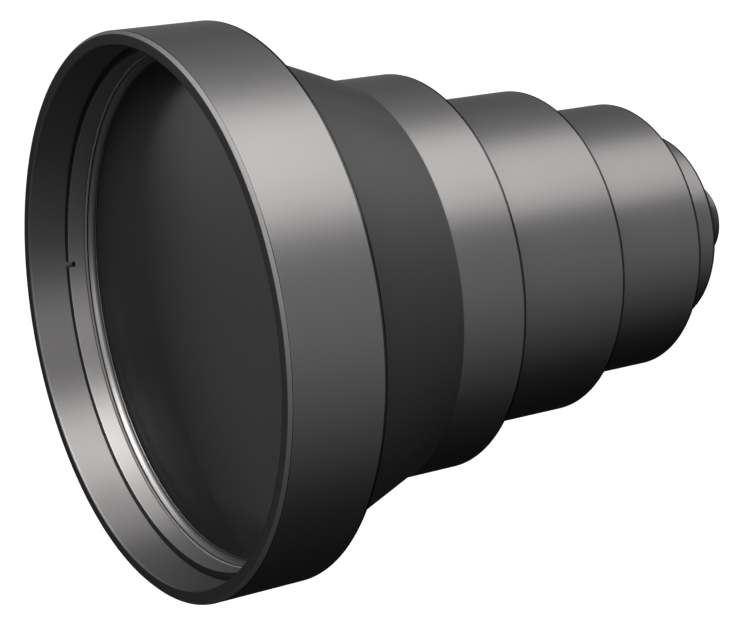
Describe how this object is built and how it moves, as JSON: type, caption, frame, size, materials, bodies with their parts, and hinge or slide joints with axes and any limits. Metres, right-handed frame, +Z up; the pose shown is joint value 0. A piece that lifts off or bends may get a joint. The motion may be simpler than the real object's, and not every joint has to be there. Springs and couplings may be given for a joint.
{
  "type": "telecentric lens",
  "caption": "Stepped black lens barrel with a wide recessed bell, a large convex aspheric front element behind a slotted ring, and a small threaded camera nose.",
  "frame": {"origin": "centre of the seat, on the optical axis, where the camera's front plate meets the collar of the mount", "axes": "+Y along the optical axis towards the camera, so the front bell faces -Y; +Z up; the spanner slots of the front ring lie 3 degrees past +X and -X, turning towards +Z and -Z"},
  "size_m": [0.17, 0.2105, 0.17],
  "materials": {
    "satin_black": "satin black anodised aluminium",
    "inner_black": "matt black anodised aluminium",
    "mount_black": "black oxide steel, fine turned thread",
    "slip_ring": "black acetal",
    "coated_glass": "optical glass with a dark anti-reflection coating"
  },
  "bodies": {
    "root": {"front_bell": "satin_black", "front_retaining_ring": "satin_black", "front_slip_ring": "slip_ring", "front_lens_cell": "satin_black", "front_asphere": "coated_glass", "front_lens_retainer": "inner_black", "main_housing": "satin_black", "front_baffle": "inner_black", "rear_baffle": "inner_black", "middle_barrel": "satin_black", "middle_lens": "coated_glass", "middle_lens_retainer": "inner_black", "rear_barrel": "satin_black", "rear_lens_cell": "inner_black", "rear_cell_retainer": "inner_black", "stop_plate": "inner_black", "stop_spacer": "inner_black", "rear_lens_1": "coated_glass", "rear_spacer_1": "inner_black", "rear_lens_2": "coated_glass", "rear_spacer_2": "inner_black", "rear_lens_3": "coated_glass", "rear_ring": "satin_black", "camera_mount": "mount_black"}
  },
  "joints": []
}
